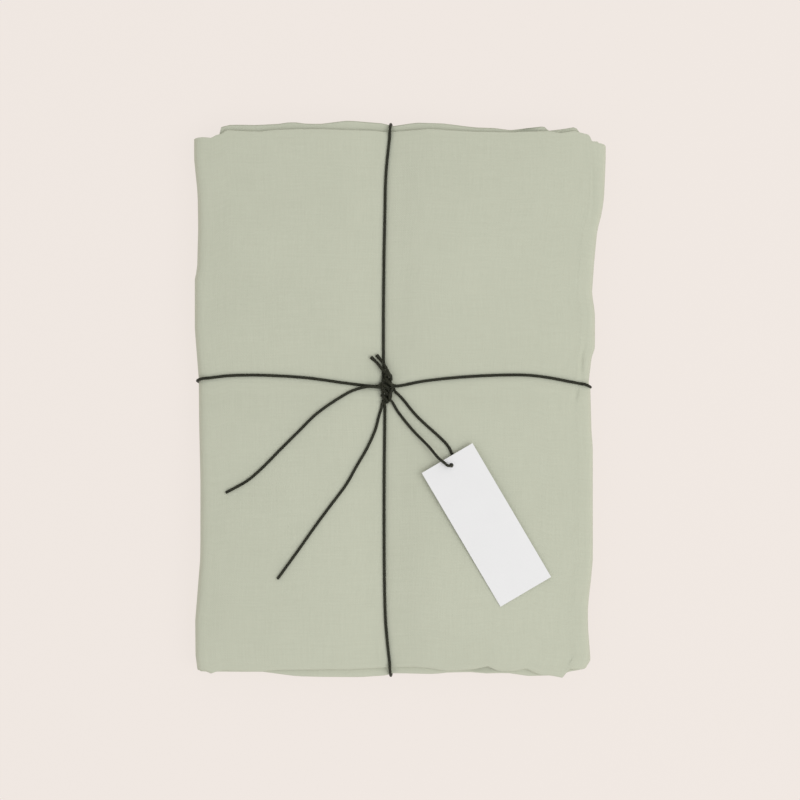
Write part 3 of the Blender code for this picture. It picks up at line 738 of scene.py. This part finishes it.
def ply_samples():
    """Stations along the sheet: (share from near to far, step along y, place in the leaf)."""
    upper, lower = 3 - HEM_LIFT, 2 + HEM_LIFT
    rows = [(1.0, UPPER_HEM_STEP - HEM, upper), (1.0, UPPER_HEM_STEP - HEM / 2, upper)]
    rows += [(1.0, UPPER_HEM_STEP - HEM_BEND, upper), (1.0, UPPER_HEM_STEP, upper)]
    rows += [(1.0, UPPER_HEM_STEP, 3.0), (1.0, UPPER_HEM_STEP - RIM, 3.0)]
    plain = np.array([(y + NOMINAL_END) / (2 * NOMINAL_END) for y in STATIONS])
    between = (plain[1:] + plain[:-1]) / 2
    under_cord = (np.arange(*UNDER_CORD) + NOMINAL_END) / (2 * NOMINAL_END)
    dense = np.unique(np.round(np.concatenate([plain, between, under_cord]), 4))

    def run(shares, start_step, end_step, level):
        for share in shares:
            step = start_step + (end_step - start_step) * share
            rows.append((share, step, level))

    def fold(share, start_step, out, start_level, end_level, steps):
        middle, half = (start_level + end_level) / 2, (start_level - end_level) / 2
        for k in range(1, steps):
            turn = math.pi * k / steps
            step = start_step - out * math.sin(turn) ** ROUND
            rows.append((share, step, middle + half * signed_power(math.cos(turn))))

    run(plain[-2::-1], NEAR_FOLD, UPPER_HEM_STEP, 3.0)
    fold(0.0, NEAR_FOLD, NEAR_FOLD, 3.0, 0.0, OUTER_FOLD_STEPS)
    run(dense, NEAR_FOLD, FAR_FOLD, 0.0)
    fold(1.0, FAR_FOLD, FAR_FOLD, 0.0, 1.0, INNER_FOLD_STEPS)
    run(plain[::-1], INNER_FOLD, FAR_FOLD, 1.0)
    fold(0.0, INNER_FOLD, INNER_FOLD_OUT, 1.0, 2.0, INNER_FOLD_STEPS)
    run(plain[:-1], INNER_FOLD, LOWER_HEM_STEP, 2.0)
    rows += [(1.0, LOWER_HEM_STEP - RIM, 2.0), (1.0, LOWER_HEM_STEP, 2.0)]
    rows += [(1.0, LOWER_HEM_STEP, lower), (1.0, LOWER_HEM_STEP - HEM_BEND, lower)]
    rows += [(1.0, LOWER_HEM_STEP - HEM / 2, lower), (1.0, LOWER_HEM_STEP - HEM, lower)]
    return np.array(rows)


def signed_power(value, power=ROUND):
    """A power that keeps the sign, for rounded corners squarer than a circle's."""
    return math.copysign(abs(value) ** power, value)


def end_of(panel, x, far):
    """Where a panel's end lies: the top leaf has its own outline, the others share one."""
    if panel == TOP_PANEL:
        return read(TOP_FAR if far else TOP_NEAR, x)
    wobble = END_WOBBLE[panel]
    waves = np.sin(x / 17.0 + 1.7 * panel) + 0.6 * np.sin(x / 7.3 + 2.9 * panel)
    wave = wobble * waves / 2
    if far:
        return read(LOW_FAR, x) - FAR_INSET[panel] - np.abs(wave)
    return read(LOW_NEAR, x) + NEAR_INSET[panel] + np.abs(wave)


def right_start(panel, y):
    """Where a panel's flat part stops at +X."""
    wave = 0.35 * np.sin(y / 23.0 + 2.1 * panel) + 0.2 * np.sin(y / 9.0 + panel)
    if panel in ROLLED_PANELS:
        return read(TOP_RIGHT, y) - SPINE_START + ROLLED_OUT
    if panel in INNER_PANELS:
        return read(LOW_RIGHT, y) - INNER_STAND
    return read(LOW_RIGHT, y) - FREE_STAND[panel] - np.abs(wave)


def end_at(panel, share, far):
    """Where a panel's end lies at a share of the way across it."""
    y = FAR_SIDE_Y if far else -NOMINAL_END
    left = read(LEFT_SIDE, y) + SPINE_START
    x = left + (right_start(panel, y) - left) * share
    corners = bump(share - 1, CORNER_WIDTH) - bump(share, CORNER_WIDTH)
    return end_of(panel, x + CORNER_TURN * corners, far)


def leaf_height(level, place, flipped):
    """Height of a ply in the stack: every second panel lies upside down."""
    return level * LEAF + LEAF_GAP / 2 + PLY * ((3 - place) if flipped else place)


def flat_stack(across, along):
    """Places of every point of the sheet in the folded stack, before the cords press it."""
    step, place = along[:, 1], along[:, 2]
    points = np.zeros((len(across), len(along), 3))
    for k, (panel, after, share, turn, hem) in enumerate(across):
        panel, after = int(panel), int(after)
        mix = turn / math.pi
        near = end_at(panel, share, False) * (1 - mix) + end_at(after, share, False) * mix
        far = end_at(panel, share, True) * (1 - mix) + end_at(after, share, True) * mix
        y = near + (far - near) * along[:, 0] + step
        raised = place + hem * HEM_LIFT * np.cos(math.pi * place)
        start = leaf_height(PANEL_LEVELS[panel], raised, panel % 2 == 1)
        left, right = read(LEFT_SIDE, y) + SPINE_START, right_start(panel, y)
        x_line = left + (right - left) * share
        z = start
        if turn > 0:
            end = leaf_height(PANEL_LEVELS[after], raised, after % 2 == 1)
            centre = (start + end) / 2
            z = centre + (start - centre) * signed_power(math.cos(turn), SIDE_ROUND)
            squash = SPINE_SQUASH if share == 0 else ROLL_SQUASH
            out = np.abs(start - centre) * squash * math.sin(turn) ** SIDE_ROUND
            x_line = x_line + (out if share > 0 else -out)
        points[k, :, 0] = x_line
        points[k, :, 1] = y
        points[k, :, 2] = z
    return points


def press(points):
    """Fits the even stack between the lower and upper sides."""
    x, y, z = points[..., 0], points[..., 1], points[..., 2]
    low, high = under(x, y), crown(x, y)
    share = z / HEIGHT
    for at_x, at_y, reach_x, reach_y, depth in POCKETS:
        sag = depth * bump(x - at_x, reach_x) * bump(y - at_y, reach_y)
        share = np.where(share < TOP_LEAF_SHARE, share * (1 - sag), share)
    points[..., 2] = low + (high - low) * share + small_shapes(x, y) * share**2
    drift = np.sin(x / DRIFT_X[0] + z * DRIFT_X[1]) * np.sin(y / DRIFT_Y[0] + z * DRIFT_Y[1])
    inside = np.clip(1 - np.abs(share - 0.5) * 2, 0, 1)
    points[..., 2] += DRIFT * drift * inside
    return points


def even_share(weights):
    """Running share of a bake map along one way of the sheet."""
    total = np.concatenate([[0], np.cumsum(weights)])
    return BAKE_MARGIN + BAKE_SPAN * total / total[-1]


def on_grid(u, v):
    """Every pair of the two runs of values, in the order of the sheet's points."""
    return np.stack(np.meshgrid(u, v, indexing="ij"), axis=-1).reshape(-1, 2)


def build_cloth(look):
    """The whole cloth as one sheet of quads, with one UV map for the weave and one for baking."""
    across, along = panel_samples(), ply_samples()
    points = flared(press(flat_stack(across, along)))
    rows, columns = points.shape[:2]
    index = np.arange(rows * columns).reshape(rows, columns)
    corners = [index[:-1, :-1], index[:-1, 1:], index[1:, 1:], index[1:, :-1]]
    quads = np.stack(corners, axis=-1).reshape(-1, 4)
    mesh = bpy.data.meshes.new("linen_tablecloth")
    mesh.from_pydata((points.reshape(-1, 3) * MM).tolist(), [], quads.tolist())
    step_u = np.linalg.norm(np.diff(points, axis=0), axis=2).mean(axis=1)
    step_v = np.linalg.norm(np.diff(points, axis=1), axis=2).mean(axis=0)
    u = np.concatenate([[0], np.cumsum(step_u)]) * MM
    v = np.concatenate([[0], np.cumsum(step_v)]) * MM
    panel_of = across[:-1, 0]
    on_top = (along[:-1, 2] < TOP_PLY_PLACE) & (along[1:, 2] < TOP_PLY_PLACE)
    seen_u = np.where(panel_of == TOP_PANEL, BAKE_TOP_PANEL, 1.0)
    seen_u = seen_u * np.where(panel_of == 0, BAKE_FIRST_PANEL, 1.0)
    seen_v = np.where(on_top, BAKE_TOP_PLY, 1.0)
    maps = {"Weave": on_grid(u, v),
            "OFBake": on_grid(even_share(step_u * seen_u), even_share(step_v * seen_v))}
    for name, places in maps.items():
        mesh.uv_layers.new(name=name).data.foreach_set("uv", places[quads.ravel()].ravel())
    mesh.shade_smooth()
    cloth = bpy.data.objects.new("linen_tablecloth", mesh)
    bpy.context.collection.objects.link(cloth)
    mesh.materials.append(look)
    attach(cloth, "bundle")
    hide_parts("folded_tablecloth")


# Materials ------------------------------------------------------------------------------------

# Two tones of each material, and its pattern's sizes in metres
LINEN_DARK = (0.481, 0.500, 0.398, 1)
LINEN_LIGHT = (0.551, 0.572, 0.460, 1)
WARP_GAP = 0.00055
WEFT_GAP = 0.00058
# The cord's lighter tone is painted sheen on the braid's high threads, and lighter wax wear
CORD_DARK = (0.0026, 0.0030, 0.0008, 1)
CORD_SHEEN_AND_WEAR = (0.038, 0.040, 0.023, 1)
BRAID_LENGTH = 0.0021
BRAID_TURNS = 3
CARD_DARK = (0.749, 0.750, 0.755, 1)
CARD_LIGHT = (0.803, 0.804, 0.808, 1)


class Nodes:
    """A short way to make and link shader nodes."""

    def __init__(self, name):
        self.material = bpy.data.materials.new(name)
        self.material.use_nodes = True
        self.tree = self.material.node_tree
        self.shader = self.tree.nodes["Principled BSDF"]

    def put(self, socket, value):
        if isinstance(value, bpy.types.NodeSocket):
            self.tree.links.new(value, socket)
        else:
            socket.default_value = value

    def math(self, operation, a, b=0.0):
        node = self.tree.nodes.new("ShaderNodeMath")
        node.operation = operation
        self.put(node.inputs[0], a)
        self.put(node.inputs[1], b)
        return node.outputs[0]

    def uv(self, name):
        node = self.tree.nodes.new("ShaderNodeUVMap")
        node.uv_map = name
        return node.outputs[0]

    def parts(self, vector):
        node = self.tree.nodes.new("ShaderNodeSeparateXYZ")
        self.put(node.inputs[0], vector)
        return node.outputs[0], node.outputs[1]

    def join(self, x, y, z=0.0):
        node = self.tree.nodes.new("ShaderNodeCombineXYZ")
        self.put(node.inputs[0], x)
        self.put(node.inputs[1], y)
        self.put(node.inputs[2], z)
        return node.outputs[0]

    def noise(self, vector, scale, detail=2.0, roughness=0.5):
        node = self.tree.nodes.new("ShaderNodeTexNoise")
        self.put(node.inputs["Vector"], vector)
        node.inputs["Scale"].default_value = scale
        node.inputs["Detail"].default_value = detail
        node.inputs["Roughness"].default_value = roughness
        return node.outputs["Fac"]

    def spread(self, value, low, high, to_low, to_high):
        node = self.tree.nodes.new("ShaderNodeMapRange")
        self.put(node.inputs["Value"], value)
        node.inputs["From Min"].default_value = low
        node.inputs["From Max"].default_value = high
        node.inputs["To Min"].default_value = to_low
        node.inputs["To Max"].default_value = to_high
        return node.outputs[0]

    def blend(self, share, a, b):
        node = self.tree.nodes.new("ShaderNodeMix")
        node.data_type = "RGBA"
        self.put(node.inputs["Factor"], share)
        self.put(node.inputs[6], a)
        self.put(node.inputs[7], b)
        return node.outputs[2]

    def bump(self, height, distance, strength=1.0, after=None):
        node = self.tree.nodes.new("ShaderNodeBump")
        self.put(node.inputs["Height"], height)
        node.inputs["Distance"].default_value = distance
        node.inputs["Strength"].default_value = strength
        if after is not None:
            self.put(node.inputs["Normal"], after)
        return node.outputs[0]


def linen():
    """Plain-woven washed linen: thin threads, slubs along both ways, soft blotches of dye."""
    n = Nodes("sage_linen_weave")
    u, v = n.parts(n.uv("Weave"))
    flat = n.join(u, v)
    sway = n.math("MULTIPLY", n.noise(flat, 90.0), 2.4)
    warp = n.math("SINE", n.math("ADD", n.math("MULTIPLY", u, math.pi / WARP_GAP), sway))
    weft = n.math("SINE", n.math("ADD", n.math("MULTIPLY", v, math.pi / WEFT_GAP), sway))
    weave = n.math("MULTIPLY", warp, weft)
    slub_u = n.noise(n.join(n.math("MULTIPLY", u, 1100.0), n.math("MULTIPLY", v, 45.0)), 1.0, 1.0)
    slub_v = n.noise(n.join(n.math("MULTIPLY", u, 38.0), n.math("MULTIPLY", v, 1050.0)), 1.0, 1.0)
    slubs = n.math("ADD", slub_u, slub_v)
    blotch = n.noise(flat, 14.0, 3.0, 0.55)
    slub_shade = n.spread(slubs, 0.7, 1.3, -0.16, 0.16)
    blotch_shade = n.spread(blotch, 0.3, 0.7, -0.12, 0.12)
    shade = n.math("ADD", slub_shade, blotch_shade)
    shade = n.math("ADD", shade, n.math("MULTIPLY", weave, 0.2))
    share = n.math("ADD", shade, 0.5)
    n.put(n.shader.inputs["Base Color"], n.blend(share, LINEN_DARK, LINEN_LIGHT))
    n.put(n.shader.inputs["Roughness"], n.spread(slubs, 0.7, 1.3, 0.95, 0.82))
    n.shader.inputs["Specular IOR Level"].default_value = 0.18
    n.shader.inputs["Sheen Weight"].default_value = 0.12
    n.shader.inputs["Sheen Roughness"].default_value = 0.6
    threads = n.bump(weave, 0.00008, 0.6)
    thick = n.bump(slubs, 0.00018, 0.5, threads)
    n.put(n.shader.inputs["Normal"], thick)
    return n.material


def waxed_cord():
    """Waxed cotton cord: fine braided rows, dark olive black, a painted dull sheen on the high
    threads.
    """
    n = Nodes("waxed_braid")
    along, turn = n.parts(n.uv("Lay"))
    run = n.math("MULTIPLY", along, 2 * math.pi / BRAID_LENGTH)
    spin = n.math("MULTIPLY", turn, 2 * math.pi * BRAID_TURNS)
    left = n.math("SINE", n.math("ADD", run, spin))
    right = n.math("SINE", n.math("SUBTRACT", run, spin))
    braid = n.math("MAXIMUM", left, right)
    # lighter specks at random: partly wax wear, partly painted sheen; the same noise sets the
    # roughness
    wax_wear_and_sheen = n.noise(n.join(n.math("MULTIPLY", along, 160.0), turn), 1.0, 3.0)
    # painted sheen: the braid's high threads are painted lighter
    braid_painted_sheen = n.spread(braid, -0.2, 1.0, 0.0, 0.6)
    wax_wear_and_sheen_tone = n.spread(wax_wear_and_sheen, 0.35, 0.7, 0.0, 0.35)
    share = n.math("ADD", braid_painted_sheen, wax_wear_and_sheen_tone)
    n.put(n.shader.inputs["Base Color"], n.blend(share, CORD_DARK, CORD_SHEEN_AND_WEAR))
    n.put(n.shader.inputs["Roughness"], n.spread(wax_wear_and_sheen, 0.3, 0.7, 0.42, 0.62))
    n.shader.inputs["Specular IOR Level"].default_value = 0.22
    n.put(n.shader.inputs["Normal"], n.bump(braid, 0.00016, 0.9))
    return n.material


def paper():
    """Uncoated white card: faint fibres and a little mottle."""
    n = Nodes("uncoated_card")
    coords = n.tree.nodes.new("ShaderNodeTexCoord").outputs["Object"]
    x, y = n.parts(coords)
    fibres = n.noise(n.join(n.math("MULTIPLY", x, 2400.0), n.math("MULTIPLY", y, 900.0)), 1.0, 3.0)
    mottle = n.noise(coords, 60.0, 3.0)
    share = n.math("ADD", n.math("MULTIPLY", fibres, 0.6), n.math("MULTIPLY", mottle, 0.4))
    n.put(n.shader.inputs["Base Color"], n.blend(share, CARD_DARK, CARD_LIGHT))
    n.put(n.shader.inputs["Roughness"], n.spread(fibres, 0.3, 0.7, 0.62, 0.74))
    n.shader.inputs["Specular IOR Level"].default_value = 0.3
    n.put(n.shader.inputs["Normal"], n.bump(fibres, 0.00003, 0.5))
    return n.material


# Studio ---------------------------------------------------------------------------------------

SKY_COLOR = (0.993, 1.0, 1.0, 1)
SKY_STRENGTH = 0.78
FLOOR_REACH = 9.0
FLOOR_COLOR = (0.080, 0.0747, 0.0707, 1)
FLOOR_GLOW = (0.790, 0.730, 0.689, 1)
BACKDROP_RADIUS = 8
BACKDROP_HEIGHT = 4
BACKDROP_SIDES = 64
BACKDROP_COLOR = (0, 0, 0, 1)
BACKDROP_GLOW = (0.852, 0.788, 0.744, 1)
LAMP_SIZES = (1.6, 1.2)
LAMP_POWER = 13.6
LAMP_PLACE = (1.1, -0.35, 1.6)


def stage_piece(name, corners, faces, color, glow):
    """A plain pale surface of the studio."""
    mesh = bpy.data.meshes.new(name)
    mesh.from_pydata(corners, [], faces)
    made = bpy.data.objects.new(name, mesh)
    bpy.context.collection.objects.link(made)
    pale = bpy.data.materials.new("pale_" + name)
    pale.use_nodes = True
    shader = pale.node_tree.nodes["Principled BSDF"]
    shader.inputs["Base Color"].default_value = color
    shader.inputs["Roughness"].default_value = 1.0
    shader.inputs["Specular IOR Level"].default_value = 0.0
    shader.inputs["Emission Color"].default_value = glow
    shader.inputs["Emission Strength"].default_value = 1.0
    mesh.materials.append(pale)


def build_studio():
    """A plain pale floor and backdrop, soft light from all round, a little stronger from +X."""
    scene = bpy.context.scene
    scene.view_settings.view_transform = "Standard"
    world = bpy.data.worlds.new("studio")
    scene.world = world
    world.use_nodes = True
    sky = world.node_tree.nodes["Background"]
    sky.inputs["Color"].default_value = SKY_COLOR
    sky.inputs["Strength"].default_value = SKY_STRENGTH
    reach = FLOOR_REACH
    corners = [(-reach, -reach, 0), (reach, -reach, 0), (reach, reach, 0), (-reach, reach, 0)]
    stage_piece("floor", corners, [(0, 1, 2, 3)], FLOOR_COLOR, FLOOR_GLOW)
    sides = BACKDROP_SIDES
    ring = []
    for k in range(sides):
        turn = k * math.pi / (sides / 2)
        ring.append((BACKDROP_RADIUS * math.cos(turn), BACKDROP_RADIUS * math.sin(turn)))
    corners = [(x, y, z) for z in (0, BACKDROP_HEIGHT) for x, y in ring]
    walls = [(k, (k + 1) % sides, (k + 1) % sides + sides, k + sides) for k in range(sides)]
    stage_piece("backdrop", corners, walls, BACKDROP_COLOR, BACKDROP_GLOW)
    data = bpy.data.lights.new("softbox", "AREA")
    data.shape = "RECTANGLE"
    data.size, data.size_y = LAMP_SIZES
    data.energy = LAMP_POWER
    lamp = bpy.data.objects.new("softbox", data)
    lamp.location = LAMP_PLACE
    aim = -np.array(lamp.location)
    tilt = math.atan2(math.hypot(aim[0], aim[1]), -aim[2])
    lamp.rotation_euler = (tilt, 0, math.atan2(aim[0], -aim[1]) + math.pi)
    bpy.context.collection.objects.link(lamp)


def main():
    add_camera()
    cord = waxed_cord()
    lines = build_cords(cord)
    build_cloth(linen())
    build_knots(cord, *lines)
    tag = bpy.data.objects["hang_tag"]
    card = paper()
    for slot in tag.material_slots:
        slot.material = card
    build_studio()


main()
